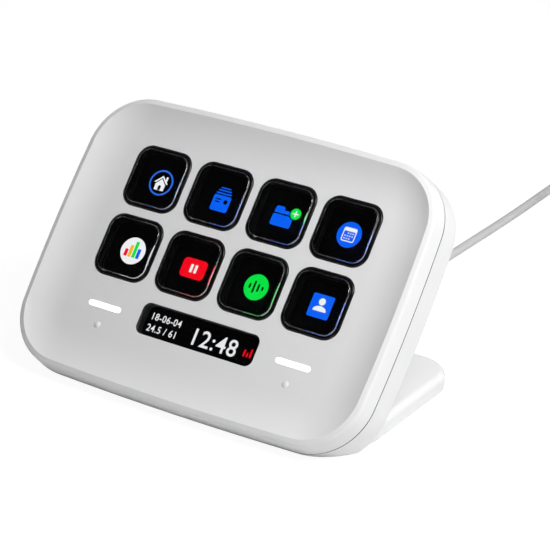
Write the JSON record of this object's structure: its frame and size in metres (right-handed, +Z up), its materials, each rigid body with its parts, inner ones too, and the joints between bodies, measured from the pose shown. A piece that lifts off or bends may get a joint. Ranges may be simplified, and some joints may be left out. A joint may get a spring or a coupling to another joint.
{
  "type": "display keypad",
  "caption": "Slanted desk keypad on a wedge stand: sprung clear display keys and an info window in a dished face, with a captive plugged cable.",
  "frame": {"origin": "on the desk, under the middle of the body without its cable", "axes": "+X to the right of someone who faces the keys, +Y to the back, +Z up"},
  "size_m": [0.1082, 0.2342, 0.064],
  "materials": {
    "shell_plastic": "matt white moulded plastic with a fine texture",
    "cover_plastic": "matt white moulded plastic",
    "pad_rubber": "dark grey non-slip rubber",
    "steel": "plain sheet steel",
    "mat_silicone": "black silicone",
    "dark_film": "dark printed film",
    "display_glass": "dark display glass, lit where icons show",
    "light_guide": "milky light guide",
    "ribbon": "amber ribbon film",
    "clamp_plastic": "natural nylon",
    "window_plastic": "smoked glossy plastic",
    "foam": "black foam",
    "board": "green solder mask",
    "chips": "black moulded chip packages",
    "socket_plastic": "white nylon",
    "screw_steel": "zinc-plated steel",
    "cord_jacket": "soft light grey jacket",
    "lead_sleeve": "thin light grey sleeve",
    "tie_silicone": "light grey silicone strap",
    "plug_plastic": "light grey moulded plug body",
    "plug_metal": "bright nickel-plated steel",
    "light_bar": "milky white diffuser, lit from behind",
    "key_clear": "clear glossy plastic over a dark display"
  },
  "bodies": {
    "housing": {"front_shell": "shell_plastic", "rear_shell": "shell_plastic", "base_cover": "cover_plastic", "base_pad": "pad_rubber", "ballast_left": "steel", "ballast_right": "steel", "key_mat": "mat_silicone", "contact_film": "dark_film", "lcd_cell": "display_glass", "backlight": "light_guide", "display_frame": "steel", "display_flex": "ribbon", "flex_clamp": "clamp_plastic", "info_window": "window_plastic", "window_gasket": "foam", "touch_film": "ribbon", "main_board": "board", "board_chips": "chips", "lead_socket": "socket_plastic", "display_screws": "screw_steel", "board_screws": "screw_steel", "base_screws": "screw_steel", "strain_relief": "cord_jacket", "inner_lead": "lead_sleeve", "cord_straight": "cord_jacket", "cord_coil": "cord_jacket", "cord_tail": "cord_jacket", "cord_tie": "tie_silicone", "plug_body": "plug_plastic", "plug_tip": "plug_metal", "light_bar_left": "light_bar", "light_bar_right": "light_bar", "bar_gasket_left": "foam", "bar_gasket_right": "foam"},
    "key_1": {"key_cap_1": "key_clear"},
    "key_2": {"key_cap_2": "key_clear"},
    "key_3": {"key_cap_3": "key_clear"},
    "key_4": {"key_cap_4": "key_clear"},
    "key_5": {"key_cap_5": "key_clear"},
    "key_6": {"key_cap_6": "key_clear"},
    "key_7": {"key_cap_7": "key_clear"},
    "key_8": {"key_cap_8": "key_clear"}
  },
  "joints": [
    {"name": "key_1_press", "type": "slide", "parent": "housing", "child": "key_1", "axis": [0, 0.766, -0.6428], "range_m": [0, 0.0012], "stiffness_N_per_m": 350, "springref_m": -0.0006, "deforming": ["key_mat"]},
    {"name": "key_2_press", "type": "slide", "parent": "housing", "child": "key_2", "axis": [0, 0.766, -0.6428], "range_m": [0, 0.0012], "stiffness_N_per_m": 350, "springref_m": -0.0006, "deforming": ["key_mat"]},
    {"name": "key_3_press", "type": "slide", "parent": "housing", "child": "key_3", "axis": [0, 0.766, -0.6428], "range_m": [0, 0.0012], "stiffness_N_per_m": 350, "springref_m": -0.0006, "deforming": ["key_mat"]},
    {"name": "key_4_press", "type": "slide", "parent": "housing", "child": "key_4", "axis": [0, 0.766, -0.6428], "range_m": [0, 0.0012], "stiffness_N_per_m": 350, "springref_m": -0.0006, "deforming": ["key_mat"]},
    {"name": "key_5_press", "type": "slide", "parent": "housing", "child": "key_5", "axis": [0, 0.766, -0.6428], "range_m": [0, 0.0012], "stiffness_N_per_m": 350, "springref_m": -0.0006, "deforming": ["key_mat"]},
    {"name": "key_6_press", "type": "slide", "parent": "housing", "child": "key_6", "axis": [0, 0.766, -0.6428], "range_m": [0, 0.0012], "stiffness_N_per_m": 350, "springref_m": -0.0006, "deforming": ["key_mat"]},
    {"name": "key_7_press", "type": "slide", "parent": "housing", "child": "key_7", "axis": [0, 0.766, -0.6428], "range_m": [0, 0.0012], "stiffness_N_per_m": 350, "springref_m": -0.0006, "deforming": ["key_mat"]},
    {"name": "key_8_press", "type": "slide", "parent": "housing", "child": "key_8", "axis": [0, 0.766, -0.6428], "range_m": [0, 0.0012], "stiffness_N_per_m": 350, "springref_m": -0.0006, "deforming": ["key_mat"]}
  ]
}
